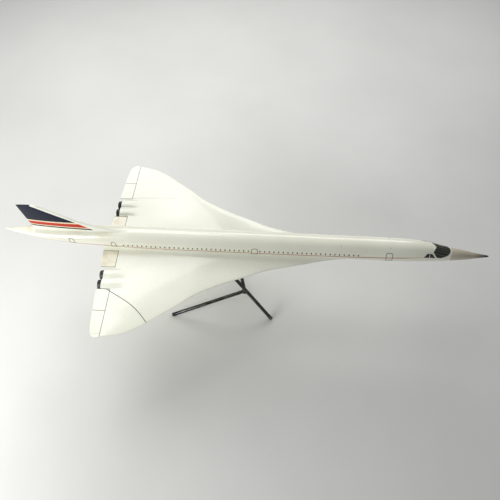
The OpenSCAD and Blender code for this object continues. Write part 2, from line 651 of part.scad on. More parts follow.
module tip_front() color("#1b1b1b") above_table() stand_frame() translate([-foot_back, 0, foot_z])
    rotate([0, -90 - mast_slope, 0]) tip();
module leg_tip(side) color("#1b1b1b") above_table() stand_frame() along_leg(side)
    translate([0, 0, leg_l]) tip();
module leg_port() leg(-1);
module leg_starboard() leg(1);
module tip_port() leg_tip(-1);
module tip_starboard() leg_tip(1);

fuselage_shell();
nose_cone();
nose_probe();
windscreen();
side_panes();
tail_cone();
fin();
wing_port();
wing_starboard();
wing_spar();
elevon_inner_port();
elevon_middle_port();
elevon_outer_port();
elevon_inner_starboard();
elevon_middle_starboard();
elevon_outer_starboard();
nacelle_port();
nacelle_starboard();
nozzles_port();
nozzles_starboard();
belly_block();
block_screws();
socket_bush();
swivel_washer();
mast();
mast_collar();
collar_screw();
leg_port();
leg_starboard();
hub_ball();
hub_screw();
tip_front();
tip_port();
tip_starboard();
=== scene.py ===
import bpy
import math
from mathutils import Matrix, Vector


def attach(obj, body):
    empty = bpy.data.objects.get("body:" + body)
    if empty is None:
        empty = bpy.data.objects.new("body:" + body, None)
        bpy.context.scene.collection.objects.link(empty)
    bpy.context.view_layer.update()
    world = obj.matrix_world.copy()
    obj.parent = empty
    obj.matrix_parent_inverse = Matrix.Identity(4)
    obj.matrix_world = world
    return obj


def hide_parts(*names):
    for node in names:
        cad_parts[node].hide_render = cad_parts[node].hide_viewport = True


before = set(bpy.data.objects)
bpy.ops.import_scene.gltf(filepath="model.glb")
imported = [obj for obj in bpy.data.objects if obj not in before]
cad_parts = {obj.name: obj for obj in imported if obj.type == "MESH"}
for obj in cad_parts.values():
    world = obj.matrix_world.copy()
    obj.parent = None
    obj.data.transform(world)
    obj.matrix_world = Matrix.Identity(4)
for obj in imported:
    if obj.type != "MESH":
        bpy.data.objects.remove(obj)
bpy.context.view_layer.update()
mm = 0.001

# Sizes that the forms share with the solids, in millimetres. Stations run back from the nose tip, and
# heights start at the cabin axis.
hull = {"length": 856, "axis": 187, "noseLen": 180, "tailLen": 296, "noseTip": -9, "tailTip": 13,
        "halfWidth": 20, "halfHeight": 23, "coneStart": 7, "coneEnd": 73, "tailCut": 808, "sides": 96}
noseX = hull["length"] / 2
noseForm = [(0, 0.06, 0.0375, 0.086), (0.05, 0.132, 0.076, 0.212), (0.11, 0.208, 0.14, 0.39),
            (0.18, 0.315, 0.222, 0.53), (0.25, 0.42, 0.318, 0.645), (0.39, 0.6, 0.478, 0.73),
            (0.47, 0.688, 0.56, 0.755), (0.56, 0.784, 0.722, 0.8), (0.67, 0.875, 0.86, 0.875),
            (0.83, 0.965, 0.97, 0.98), (1, 1, 1, 1)]
tailForm = [(0, 0.045, 0.08, 0.022), (0.14, 0.46, 0.245, 0.232), (0.29, 0.74, 0.46, 0.503),
            (0.46, 0.86, 0.69, 0.71), (0.63, 0.92, 0.88, 0.834), (0.80, 0.965, 0.98, 0.945), (1, 1, 1, 1)]


def curveThrough(table, column, at):
    def slope(i):
        a, b = table[max(i - 1, 0)], table[min(i + 1, len(table) - 1)]
        return (b[column] - a[column]) / (b[0] - a[0])
    i = 0
    while i < len(table) - 2 and at > table[i + 1][0]:
        i += 1
    step = table[i + 1][0] - table[i][0]
    u = min(1, max(0, (at - table[i][0]) / step))
    return ((2 * u**3 - 3 * u**2 + 1) * table[i][column] + (u**3 - 2 * u**2 + u) * step * slope(i)
            + (3 * u**2 - 2 * u**3) * table[i + 1][column] + (u**3 - u**2) * step * slope(i + 1))


def hullShare(s, column):
    if s < hull["noseLen"]:
        return curveThrough(noseForm, column, s / hull["noseLen"])
    if s > hull["length"] - hull["tailLen"]:
        return curveThrough(tailForm, column, (hull["length"] - s) / hull["tailLen"])
    return 1


def hullRing(s):
    # half width, middle height and half height of the hull at a station
    tip = 0
    if s < hull["noseLen"]:
        tip = hull["noseTip"]
    elif s > hull["length"] - hull["tailLen"]:
        tip = hull["tailTip"]
    top = tip + (hull["halfHeight"] - tip) * hullShare(s, 2)
    belly = tip - (hull["halfHeight"] + tip) * hullShare(s, 3)
    return hull["halfWidth"] * hullShare(s, 1), (top + belly) / 2, (top - belly) / 2


def onHull(s, angle, lift):
    # point over the hull at an angle in degrees from the crown, port side positive
    width, middle, height = hullRing(s)
    a = math.radians(angle)
    return Vector((noseX - s, (width + lift) * math.sin(a),
                   hull["axis"] + middle + (height + lift) * math.cos(a))) * mm


def deselectAll():
    bpy.ops.object.select_all(action="DESELECT")


def pick(obj):
    deselectAll()
    obj.select_set(True)
    bpy.context.view_layer.objects.active = obj


def applyModifier(obj, kind, **settings):
    pick(obj)
    modifier = obj.modifiers.new(kind.lower(), kind)
    for key, value in settings.items():
        setattr(modifier, key, value)
    bpy.ops.object.modifier_apply(modifier=modifier.name)


def copyOf(obj, name):
    twin = obj.copy()
    twin.data = obj.data.copy()
    twin.name = name
    bpy.context.scene.collection.objects.link(twin)
    return twin


def editAll(obj):
    pick(obj)
    bpy.ops.object.mode_set(mode="EDIT")
    bpy.ops.mesh.select_all(action="SELECT")


def faceOut(obj, flip):
    if flip:
        editAll(obj)
        bpy.ops.mesh.flip_normals()
        bpy.ops.object.mode_set(mode="OBJECT")


def closeSurface():
    # all faces of the edited piece turned outwards, which ends its editing
    bpy.ops.mesh.select_all(action="SELECT")
    bpy.ops.mesh.normals_make_consistent(inside=False)
    bpy.ops.object.mode_set(mode="OBJECT")


def joined(pieces):
    deselectAll()
    for piece in pieces:
        piece.select_set(True)
    bpy.context.view_layer.objects.active = pieces[0]
    bpy.ops.object.join()
    return bpy.context.object


def sideName(side):
    return "Port" if side > 0 else "Starboard"


def settle(obj, name, body, slot, material, nodes=(), smooth=35):
    pick(obj)
    obj.name = name
    obj.data.name = name
    bpy.ops.object.transform_apply(location=True, rotation=True, scale=True)
    bpy.ops.object.shade_smooth_by_angle(angle=math.radians(smooth))
    obj.data.materials.clear()
    obj.data.materials.append(material)
    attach(obj, body)
    if nodes:
        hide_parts(*nodes)


def linear(text):
    # sRGB hex to a linear colour
    channels = [int(text[i:i + 2], 16) / 255 for i in (1, 3, 5)]
    return tuple(c / 12.92 if c <= 0.04045 else ((c + 0.055) / 1.055)**2.4 for c in channels) + (1,)


def addNode(tree, kind, settings=None, inputs=None):
    new = tree.nodes.new(kind)
    for key, value in (settings or {}).items():
        setattr(new, key, value)
    for key, value in (inputs or {}).items():
        if isinstance(value, bpy.types.NodeSocket):
            tree.links.new(value, new.inputs[key])
        else:
            new.inputs[key].default_value = value
    return new


def startMaterial(name, shader):
    material = bpy.data.materials.new(name)
    material.use_nodes = True
    tree = material.node_tree
    tree.nodes.clear()
    place = addNode(tree, "ShaderNodeTexCoord").outputs["Object"]
    surface = addNode(tree, "ShaderNodeBsdfPrincipled", None, shader)
    addNode(tree, "ShaderNodeOutputMaterial", None, {"Surface": surface.outputs[0]})
    return material, tree, place, surface


def noiseOf(tree, place, size, detail=3):
    # noise whose blotches are about this many millimetres
    return addNode(tree, "ShaderNodeTexNoise", None,
                   {"Vector": place, "Scale": 1 / (size * mm), "Detail": detail}).outputs[0]


def ramp(tree, factor, low, high, colours=("#000000", "#ffffff")):
    # ramp between two positions and colours
    new = addNode(tree, "ShaderNodeValToRGB", None, {"Fac": factor})
    stops = new.color_ramp.elements
    stops[0].position, stops[1].position = low, high
    stops[0].color, stops[1].color = linear(colours[0]), linear(colours[1])
    return new.outputs[0]


def blendColours(tree, factor, a, b):
    return addNode(tree, "ShaderNodeMix", {"data_type": "RGBA"}, {0: factor, 6: a, 7: b}).outputs[2]


def arithmetic(tree, how, a, b):
    return addNode(tree, "ShaderNodeMath", {"operation": how, "use_clamp": True}, {0: a, 1: b}).outputs[0]


def fieldMask(tree, place, direction, start, end):
    # 0 before start and 1 after end, in millimetres along a direction
    along = addNode(tree, "ShaderNodeVectorMath", {"operation": "DOT_PRODUCT"},
                    {0: place, 1: direction}).outputs["Value"]
    return addNode(tree, "ShaderNodeMapRange", {"clamp": True},
                   {0: along, 1: start * mm, 2: end * mm, 3: 0.0, 4: 1.0}).outputs[0]


def linkColour(tree, surface, colour):
    tree.links.new(colour, surface.inputs["Base Color"])


def finishSurface(tree, place, surface, rough, grain, bump, size):
    # uneven gloss, and a surface relief of the given size and depth in millimetres
    gloss = addNode(tree, "ShaderNodeMapRange", None,
                    {0: noiseOf(tree, place, grain), 1: 0.3, 2: 0.7, 3: rough[0], 4: rough[1]})
    tree.links.new(gloss.outputs[0], surface.inputs["Roughness"])
    relief = addNode(tree, "ShaderNodeBump", None,
                     {"Height": noiseOf(tree, place, size, 2), "Distance": bump * mm, "Strength": 1.0})
    tree.links.new(relief.outputs[0], surface.inputs["Normal"])


# Sprayed gloss enamel: a deep even shine, with a faint orange peel, and dust specks under the lacquer
enamel = {"ior": 1.5, "coat": 0.3, "coatRoughness": 0.06, "rough": (0.16, 0.26), "glossPatch": 40,
          "peelSize": 5, "peelDepth": 0.006, "blotch": 90, "blotchRamp": (0.35, 0.7), "speck": 1.6,
          "speckRamp": (0.735, 0.765), "speckColour": "#b9b4a4"}


def sprayedEnamel(name, clean, tinted):
    material, tree, place, surface = startMaterial(name, {
        "IOR": enamel["ior"], "Coat Weight": enamel["coat"], "Coat Roughness": enamel["coatRoughness"]})
    colour = ramp(tree, noiseOf(tree, place, enamel["blotch"]), *enamel["blotchRamp"], (clean, tinted))
    specks = ramp(tree, noiseOf(tree, place, enamel["speck"], 1), *enamel["speckRamp"])
    colour = blendColours(tree, specks, colour, linear(enamel["speckColour"]))
    finishSurface(tree, place, surface, enamel["rough"], enamel["glossPatch"], enamel["peelDepth"],
                  enamel["peelSize"])
    return material, tree, place, surface, colour


# Yellowed lacquer in blotches: round the fin root and the tail, between the places given back from the
# middle and up from the table, and on the inner elevons
hullAge = {"back": (190, 340), "up": (193, 206), "blotch": 22, "ramp": (0.42, 0.68), "share": 0.6,
           "colour": "#cdbf8e"}
elevonAge = {"blotch": 14, "ramp": (0.45, 0.75), "share": 0.6, "colour": "#d6c99c"}


def hullEnamel():
    material, tree, place, surface, colour = sprayedEnamel("hullEnamel", "#f3f3e3", "#ebebd9")
    aged = arithmetic(tree, "MULTIPLY", fieldMask(tree, place, (-1, 0, 0), *hullAge["back"]),
                      ramp(tree, noiseOf(tree, place, hullAge["blotch"]), *hullAge["ramp"]))
    aged = arithmetic(tree, "MULTIPLY", aged, fieldMask(tree, place, (0, 0, 1), *hullAge["up"]))
    aged = arithmetic(tree, "MULTIPLY", aged, hullAge["share"])
    linkColour(tree, surface, blendColours(tree, aged, colour, linear(hullAge["colour"])))
    return material


def wingEnamel():
    material, tree, place, surface, colour = sprayedEnamel("wingEnamel", "#f2f3e4", "#eaebda")
    linkColour(tree, surface, colour)
    return material


def agedEnamel():
    material, tree, place, surface, colour = sprayedEnamel("agedEnamel", "#efecd8", "#e6dfc4")
    blotches = ramp(tree, noiseOf(tree, place, elevonAge["blotch"]), *elevonAge["ramp"])
    stain = arithmetic(tree, "MULTIPLY", blotches, elevonAge["share"])
    linkColour(tree, surface, blendColours(tree, stain, colour, linear(elevonAge["colour"])))
    return material


# The nose is browner than the hull and darkens forward. Its black tip paint runs back along the cone as a
# soft dark band, which is painted shade from a dark reflection.
nosePaintwork = {"brownFrom": (350, 410), "brown": "#b0a693", "blackAndPaintedShadeFrom": (398, 422), "blackAndPaintedShadeShare": 0.85,
                 "black": "#2e2b27"}


def noseEnamel():
    material, tree, place, surface, colour = sprayedEnamel("noseEnamel", "#d4cdb9", "#c8bfa9")
    browned = fieldMask(tree, place, (1, 0, 0), *nosePaintwork["brownFrom"])
    colour = blendColours(tree, browned, colour, linear(nosePaintwork["brown"]))
    # black tip paint fading back along the cone into painted shade from a dark reflection
    blackAndPaintedShade = arithmetic(tree, "MULTIPLY", fieldMask(tree, place, (1, 0, 0), *nosePaintwork["blackAndPaintedShadeFrom"]),
                        nosePaintwork["blackAndPaintedShadeShare"])
    linkColour(tree, surface, blendColours(tree, blackAndPaintedShade, colour, linear(nosePaintwork["black"])))
    return material


# Painted fields of the fin, from the lowest up: each colour starts at a height, in millimetres across the
# slightly falling stripes. Ahead of the slanting front limit the fin stays white. The fin's paint is duller
# than the hull's, and its dark fields reflect little.
finPaint = {"slant": (0.05, 0, 0.9987), "frontLimit": (0.606, 0, 0.795), "frontAt": (5.7, 5.9),
            "fields": [("#0e1730", 197.4), ("#f0dfbc", 200.8), ("#c0341f", 202.8), ("#f0dfbc", 211.8),
                       ("#0b142c", 215)], "top": 270, "edge": 0.1, "coat": 0, "shine": 0.12}


def finEnamel():
    # flat colour fields masked and sprayed over the white, with clean edges
    material, tree, place, surface, colour = sprayedEnamel("finEnamel", "#f5f6ea", "#edeedf")
    low, high = finPaint["fields"][0][1], finPaint["top"]
    height = fieldMask(tree, place, finPaint["slant"], low, high)
    bands = addNode(tree, "ShaderNodeValToRGB", None, {"Fac": height})
    bands.color_ramp.interpolation = "CONSTANT"
    stops = bands.color_ramp.elements
    stops[0].color = linear(finPaint["fields"][0][0])
    stops[1].position = (finPaint["fields"][1][1] - low) / (high - low)
    stops[1].color = linear(finPaint["fields"][1][0])
    for text, at in finPaint["fields"][2:]:
        stops.new((at - low) / (high - low)).color = linear(text)
    above = fieldMask(tree, place, finPaint["slant"], low - finPaint["edge"], low + finPaint["edge"])
    ahead = fieldMask(tree, place, finPaint["frontLimit"], *finPaint["frontAt"])
    painted = arithmetic(tree, "MULTIPLY", above, arithmetic(tree, "SUBTRACT", 1.0, ahead))
    linkColour(tree, surface, blendColours(tree, painted, colour, bands.outputs[0]))
    surface.inputs["Coat Weight"].default_value = finPaint["coat"]
    surface.inputs["Specular IOR Level"].default_value = finPaint["shine"]
    return material


# Dark plastic glazing, printed with the grey lengthwise bars of its frame
visorPrint = {"pitch": 4.1, "shift": 1.2, "ramp": (0.5, 0.72), "colours": ("#090a08", "#454a3b")}
waveStep = 0.314159  # a wave texture of scale 1 repeats at this step


def visorPlastic():
    material, tree, place, surface = startMaterial("visorPlastic", {
        "IOR": 1.49, "Coat Weight": 0.4, "Coat Roughness": 0.05})
    bars = addNode(tree, "ShaderNodeTexWave", {"bands_direction": "Y"},
                   {"Vector": place, "Scale": waveStep / (visorPrint["pitch"] * mm), "Distortion": 0.0,
                    "Phase Offset": visorPrint["shift"]}).outputs[1]
    linkColour(tree, surface, ramp(tree, bars, *visorPrint["ramp"], visorPrint["colours"]))
    finishSurface(tree, place, surface, (0.1, 0.2), 8, 0.002, 3)
    return material


def plainFinish(name, clean, tinted, blotch, rough, bump, size, **shader):
    # a blotchy colour, with the blotch size, roughness range, relief depth and relief size given in turn
    sockets = {key.replace("_", " "): value for key, value in shader.items()}
    material, tree, place, surface = startMaterial(name, sockets)
    linkColour(tree, surface, ramp(tree, noiseOf(tree, place, blotch), 0.35, 0.68, (clean, tinted)))
    finishSurface(tree, place, surface, rough, blotch, bump, size)
    return material


def sandedPlywood():
    # hidden packing wood: pale veneers in layers of 1.9 mm
    material, tree, place, surface = startMaterial("sandedPlywood", {"IOR": 1.45})
    wave = addNode(tree, "ShaderNodeTexWave", {"bands_direction": "Z"},
                   {"Vector": place, "Scale": 1 / (6 * mm), "Distortion": 2.0, "Detail": 3.0}).outputs[0]
    linkColour(tree, surface, ramp(tree, wave, 0.3, 0.8, ("#b48a58", "#d9bc8c")))
    finishSurface(tree, place, surface, (0.5, 0.7), 5, 0.05, 1)
    return material


hullPaint = hullEnamel()
wingPaint = wingEnamel()
agedPaint = agedEnamel()
nosePaint = noseEnamel()
finFields = finEnamel()
visorDark = visorPlastic()
# black ABS side windows, polished
paneBlack = plainFinish("paneBlack", "#0c0e10", "#16191b", 6, (0.06, 0.14), 0.001, 3, IOR=1.5,
                        Coat_Weight=0.5)
# screen-printed ink: thin, slightly matt against the lacquer
windowInk = plainFinish("windowInk", "#1d1812", "#3a3024", 5, (0.35, 0.5), 0.002, 1, IOR=1.5)
greyInk = plainFinish("greyInk", "#332e27", "#544d41", 9, (0.35, 0.5), 0.002, 1, IOR=1.5)
faintInk = plainFinish("faintInk", "#8f8e80", "#aeac9c", 9, (0.3, 0.45), 0.002, 1, IOR=1.5)
redInk = plainFinish("redInk", "#983a1c", "#ab5030", 30, (0.3, 0.42), 0.002, 1, IOR=1.5)
# satin black enamel with sooty patches
nozzleBlack = plainFinish("nozzleBlack", "#141311", "#2b2723", 5, (0.35, 0.55), 0.02, 1, IOR=1.5)
# black nickel over steel rod, with finger marks and fine pitting, and dark to the rims: its dark edge tint is
# a painted dark reflection of the room
rodChrome = plainFinish("rodChrome", "#434645", "#6e716d", 16, (0.08, 0.18), 0.006, 2, Metallic=1.0,
                        Specular_Tint=(0.12, 0.12, 0.12, 1))
# the collar's dark edge tint is also a painted dark reflection of the room at its rims
collarChrome = plainFinish("collarChrome", "#3a3d3f", "#666a6b", 7, (0.14, 0.28), 0.006, 1, Metallic=1.0,
                           Specular_Tint=(0.12, 0.12, 0.12, 1))
hubBronze = plainFinish("hubBronze", "#352f27", "#574e41", 4, (0.2, 0.38), 0.02, 1, Metallic=1.0)
screwSteel = plainFinish("screwSteel", "#8f9192", "#b3b4b4", 3, (0.25, 0.4), 0.01, 1, Metallic=1.0)
blackSteel = plainFinish("blackSteel", "#1d1e1f", "#2f3031", 3, (0.35, 0.5), 0.01, 1, Metallic=1.0)
turnedBrass = plainFinish("turnedBrass", "#b08d3f", "#c7a65a", 4, (0.2, 0.34), 0.01, 1, Metallic=1.0)
# natural nylon, turned: waxy and slightly translucent
washerNylon = plainFinish("washerNylon", "#e3e0d4", "#efece2", 4, (0.4, 0.55), 0.01, 1, IOR=1.53,
                          Subsurface_Weight=0.15, Subsurface_Radius=(0.002, 0.002, 0.002))
# moulded rubber tip: dull, with dusty patches
tipRubber = plainFinish("tipRubber", "#111111", "#232221", 4, (0.6, 0.8), 0.03, 1, IOR=1.52)
# the front tip has scuffed to grey
scuffedRubber = plainFinish("scuffedRubber", "#3c3c38", "#62625b", 2.5, (0.5, 0.7), 0.03, 1, IOR=1.52)
plywood = sandedPlywood()
print("materials ready")

nodeFinishes = {
    "nose_probe": nozzleBlack, "nozzles_port": nozzleBlack, "nozzles_starboard": nozzleBlack,
    "wing_spar": plywood, "belly_block": plywood, "block_screws": screwSteel, "socket_bush": turnedBrass,
    "swivel_washer": washerNylon, "mast": rodChrome, "leg_port": rodChrome, "leg_starboard": rodChrome,
    "mast_collar": collarChrome, "collar_screw": blackSteel, "hub_ball": hubBronze, "hub_screw": screwSteel,
    "tip_front": scuffedRubber, "tip_port": tipRubber, "tip_starboard": tipRubber}
for nodeName, finish in nodeFinishes.items():
    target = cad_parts[nodeName].data.materials
    target.clear()
    target.append(finish)


def loftHull(stations):
    # a disc at the first station, extruded back ring by ring and scaled to the hull's size there
    width, middle, height = hullRing(stations[0])
    at = Vector((noseX - stations[0], 0, hull["axis"] + middle)) * mm
    deselectAll()
    bpy.ops.mesh.primitive_circle_add(vertices=hull["sides"], radius=mm, fill_type="NGON",
                                      location=at, rotation=(0, math.pi / 2, 0))
    obj = bpy.context.object
    editAll(obj)
    bpy.ops.transform.resize(value=(1, width, height), center_override=at)
    for station in stations[1:]:
        nextWidth, nextMiddle, nextHeight = hullRing(station)
        nextAt = Vector((noseX - station, 0, hull["axis"] + nextMiddle)) * mm
        bpy.ops.mesh.extrude_region_move(TRANSFORM_OT_translate={"value": nextAt - at})
        bpy.ops.transform.resize(value=(1, nextWidth / width, nextHeight / height), center_override=nextAt)
        width, height, at = nextWidth, nextHeight, nextAt
    closeSurface()
    return obj


def spread(start, end, step):
    count = max(1, round((end - start) / step))
    return [start + (end - start) * i / count for i in range(count + 1)]


# rings are close together where the hull curves, and far apart along its straight middle
noseStations = spread(hull["coneStart"], hull["coneEnd"], 3)
hullStations = spread(hull["coneEnd"], 184, 3) + spread(200, 548, 29) + spread(556, hull["tailCut"], 6)
tailStations = spread(hull["tailCut"], 848, 4) + [851, 853.5, 855.2, 856]
settle(loftHull(noseStations), "noseSkin", "aircraft", "cream_nose", nosePaint, ["nose_cone"])
settle(loftHull(hullStations), "hullSkin", "aircraft", "white_hull", hullPaint, ["fuselage_shell"])
settle(loftHull(tailStations), "tailSkin", "aircraft", "white_hull", hullPaint, ["tail_cone"])
print("hull ready")

# The wing thins along its span, never thicker than a share of its chord, and a fillet eases it into the hull
wing = {"front": 235, "length": 452, "halfSpan": 177.8, "drop": 15, "rootThick": 12, "tipThick": 2.4,
        "thinRate": 1.25, "thinPower": 0.9, "chordShare": 0.3, "filletIn": 16, "filletOut": 30, "fillet": 4.5,
        "filletPower": 2.6, "sectionPoints": 96}
wingPlan = [(0.067, 0, 1), (0.101, 0.0885, 1), (0.141, 0.162, 1), (0.187, 0.23, 0.998), (0.25, 0.3376, 0.995),
            (0.328, 0.418, 0.992), (0.43, 0.52, 0.99), (0.547, 0.613, 0.988), (0.664, 0.676, 0.985),
            (0.781, 0.741, 0.981), (0.883, 0.799, 0.977), (0.953, 0.8516, 0.971), (0.984, 0.9, 0.965),
            (1, 0.94, 0.957)]
wingSection = [(0, 0), (0.008, 0.2), (0.03, 0.38), (0.07, 0.55), (0.14, 0.74), (0.25, 0.9), (0.4, 1),
               (0.55, 0.93), (0.7, 0.74), (0.84, 0.46), (0.93, 0.27), (1, 0.12)]
# the ribs are close together in the fillet and towards the tip
wingRibs = ([13, 16, 17.5] + spread(18.5, 30, 1.6)[:-1] + spread(30, 168, 4.6)
            + [170, 172, 173.5, 174.8, 175.9, 176.7, 177.2, 177.55, 177.75, 177.8])


def wingEdge(y, column):
    return wing["front"] + curveThrough(wingPlan, column, y / wing["halfSpan"]) * wing["length"]


def wingHalfThick(y):
    # half the thickest section at a distance from the middle
    thinned = min(1, wing["thinRate"] * (y / wing["halfSpan"])**wing["thinPower"])
    thick = wing["rootThick"] + (wing["tipThick"] - wing["rootThick"]) * thinned
    thick = min(thick, wing["chordShare"] * (wingEdge(y, 2) - wingEdge(y, 1)))
    ease = max(0, (wing["filletOut"] - y) / (wing["filletOut"] - wing["filletIn"]))
    return thick / 2 + wing["fillet"] * ease**wing["filletPower"]


def wingHalfAt(s, y):
    # half the wing's thickness at a station and a distance from the middle
    front, back = wingEdge(y, 1), wingEdge(y, 2)
    return wingHalfThick(y) * curveThrough(wingSection, 1, min(1, max(0, (s - front) / (back - front))))


def onWing(s, y, lift):
    # point over the upper face of the wing, y positive to port
    return Vector((noseX - s, y, hull["axis"] - wing["drop"] + wingHalfAt(s, abs(y)) + lift)) * mm


def loftWing():
    # port wing: a section at the root, extruded out rib by rib and scaled to its chord and thickness
    y = wingRibs[0]
    front, chord, half = wingEdge(y, 1), wingEdge(y, 2) - wingEdge(y, 1), wingHalfThick(y)
    deselectAll()
    bpy.ops.mesh.primitive_circle_add(vertices=wing["sectionPoints"], radius=1, fill_type="NGON")
    obj = bpy.context.object
    for vertex in obj.data.vertices:
        turn = math.atan2(vertex.co.y, vertex.co.x)
        share = (1 - math.cos(turn)) / 2
        side = 1 if vertex.co.y > 1e-6 else -1 if vertex.co.y < -1e-6 else 0
        height = curveThrough(wingSection, 1, share) * half * side
        vertex.co = Vector((noseX - front - share * chord, y, hull["axis"] - wing["drop"] + height)) * mm
    editAll(obj)
    for rib in wingRibs[1:]:
        nextFront, nextHalf = wingEdge(rib, 1), wingHalfThick(rib)
        nextChord = wingEdge(rib, 2) - nextFront
        hinge = Vector((noseX - nextFront, rib, hull["axis"] - wing["drop"])) * mm
        bpy.ops.mesh.extrude_region_move(TRANSFORM_OT_translate={
            "value": Vector((front - nextFront, rib - y, 0)) * mm})
        bpy.ops.transform.resize(value=(nextChord / chord, 1, nextHalf / half), center_override=hinge)
        y, front, chord, half = rib, nextFront, nextChord, nextHalf
    closeSurface()
    return obj


# Elevons, with the notch that the exhausts fill. The cutting blocks run past the trailing edge.
elevon = {"chord": 28, "tipShift": 2.5, "gap": 0.5, "in": 21, "innerWidth": 32, "midIn": 95, "split": 133,
          "outIn": 5.8, "notchIn": 55, "notchOut": 94, "notchFront": 648, "past": 30, "blockHalf": 25}
elevonOut = wing["halfSpan"] - elevon["outIn"]
elevonBack = wing["front"] + wing["length"] + elevon["past"]


def hingeAt(y):
    return wing["front"] + wing["length"] - elevon["chord"] - elevon["tipShift"] * y / wing["halfSpan"]


def prism(corners):
    # upright block over four plan corners, each (station, distance from the middle)
    deselectAll()
    bpy.ops.mesh.primitive_cube_add(size=2)
    obj = bpy.context.object
    order = {(1, -1): 0, (1, 1): 1, (-1, 1): 2, (-1, -1): 3}
    for vertex in obj.data.vertices:
        s, y = corners[order[(round(vertex.co.x), round(vertex.co.y))]]
        height = hull["axis"] - wing["drop"] + elevon["blockHalf"] * vertex.co.z
        vertex.co = Vector((noseX - s, y, height)) * mm
    return obj


def combine(obj, how, corners):
    cutter = prism(corners)
    applyModifier(obj, "BOOLEAN", operation=how, object=cutter, solver="EXACT")
    bpy.data.objects.remove(cutter)


def mirrorToStarboard(obj):
    for vertex in obj.data.vertices:
        vertex.co.y = -vertex.co.y
    faceOut(obj, True)


wholeWing = loftWing()
elevonSpans = {"inner": (elevon["in"], elevon["in"] + elevon["innerWidth"]),
               "middle": (elevon["midIn"], elevon["split"]), "outer": (elevon["split"], elevonOut)}
wingParts = {}
for part, (start, end) in elevonSpans.items():
    gap, halfGap = elevon["gap"], elevon["gap"] / 2
    wingParts[part] = copyOf(wholeWing, part)
    combine(wingParts[part], "INTERSECT", [(hingeAt(start) + gap, start + halfGap),
                                           (hingeAt(end) + gap, end - halfGap),
                                           (elevonBack, end - halfGap), (elevonBack, start + halfGap)])
combine(wholeWing, "DIFFERENCE", [(hingeAt(elevon["in"]), elevon["in"]), (hingeAt(elevonOut), elevonOut),
                                  (elevonBack, elevonOut), (elevonBack, elevon["in"])])
combine(wholeWing, "DIFFERENCE", [(elevon["notchFront"], elevon["notchIn"]),
                                  (elevon["notchFront"], elevon["notchOut"]),
                                  (elevonBack, elevon["notchOut"]), (elevonBack, elevon["notchIn"])])
wingParts["wing"] = wholeWing
for part, obj in wingParts.items():
    other = copyOf(obj, part + "Starboard")
    mirrorToStarboard(other)
    for piece, side in ((obj, "port"), (other, "starboard")):
        isWing = part == "wing"
        node = "wing_" + side if isWing else "elevon_" + part + "_" + side
        name = part + ("" if isWing else "Elevon") + side.capitalize()
        slot, paint = ("aged_white", agedPaint) if part == "inner" else ("white_wing", wingPaint)
        settle(piece, name, "aircraft", slot, paint, [node])
print("wings ready")

# The fin thins upwards from a height, and its section is blunt at both edges and fullest ahead of its middle
fin = {"root": 168, "back": 802.5, "height": 86.5, "thick": 7, "thinShare": 0.62, "thinFrom": 20,
       "edgeShare": 0.04, "fullFront": 1.15, "fullFall": 0.35, "footHigh": 22, "footLow": 10,
       "sectionPoints": 48}
finPlan = [(0, 1, 0), (0.03, 0.884, 0.001), (0.067, 0.813, 0.002), (0.126, 0.742, 0.003),
           (0.19, 0.67, 0.004), (0.26, 0.607, 0.005), (0.42, 0.495, 0.008), (0.567, 0.43, 0.01),
           (0.75, 0.339, 0.013), (1, 0.2, 0.017)]
# the rows, in shares of the height, are close together towards the foot
finRows = [1, 0.97, 0.92] + spread(0.1, 0.86, 0.05)[::-1] + [0.075, 0.055, 0.04, 0.028, 0.018, 0.01, 0.004]


def finEdges():
    # height, front and back station of the fin, from its tip down into the hull
    rows = []
    for share in finRows:
        front = fin["back"] - curveThrough(finPlan, 1, share) * fin["root"]
        crown = sum(hullRing(front)[1:])
        rows.append((crown + share * (fin["height"] - crown), front,
                     fin["back"] - curveThrough(finPlan, 2, share) * fin["root"]))
    footFront = fin["back"] - fin["root"] + 1
    return rows + [(height, footFront, fin["back"]) for height in (fin["footHigh"], fin["footLow"])]


def finHalfThick(z):
    up = max(0, (z - fin["thinFrom"]) / (fin["height"] - fin["thinFrom"]))
    return fin["thick"] / 2 * (1 - fin["thinShare"] * up)


def loftFin():
    rows = finEdges()
    height, front, back = rows[0]
    half = finHalfThick(height)
    deselectAll()
    bpy.ops.mesh.primitive_circle_add(vertices=fin["sectionPoints"], radius=1, fill_type="NGON")
    obj = bpy.context.object
    for vertex in obj.data.vertices:
        share = (1 - math.cos(math.atan2(vertex.co.y, vertex.co.x))) / 2
        fullness = fin["fullFront"] - fin["fullFall"] * share
        fat = fin["edgeShare"] + (1 - fin["edgeShare"]) * math.sqrt(max(0, 1 - (2 * share - 1)**2)) * fullness
        fat = 0 if abs(vertex.co.y) < 1e-6 else fat
        vertex.co = Vector((noseX - front - share * (back - front), math.copysign(fat * half, vertex.co.y),
                            hull["axis"] + height)) * mm
    editAll(obj)
    for nextHeight, nextFront, nextBack in rows[1:]:
        nextHalf = finHalfThick(nextHeight)
        nextAt = Vector((noseX - nextFront, 0, hull["axis"] + nextHeight)) * mm
        bpy.ops.mesh.extrude_region_move(TRANSFORM_OT_translate={
            "value": Vector((front - nextFront, 0, nextHeight - height)) * mm})
        bpy.ops.transform.resize(value=((nextBack - nextFront) / (back - front), nextHalf / half, 1),
                                 center_override=nextAt)
        height, front, back, half = nextHeight, nextFront, nextBack, nextHalf
    closeSurface()
    return obj


settle(loftFin(), "finSkin", "aircraft", "fin_paint", finFields, ["fin"], smooth=50)
print("fin ready")


nacelleEdge = {"width": 0.9, "segments": 3, "angle": 50}  # rounding of edges sharper than the angle


def mergedCopy(node):
    # copy of a solid with its loose triangles merged and its flat faces whole again
    obj = copyOf(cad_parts[node], "merged")
    obj.parent = None
    obj.matrix_world = Matrix.Identity(4)
    editAll(obj)
    bpy.ops.mesh.remove_doubles(threshold=1e-6)
    bpy.ops.mesh.dissolve_limited(angle_limit=math.radians(1))
    bpy.ops.object.mode_set(mode="OBJECT")
    return obj


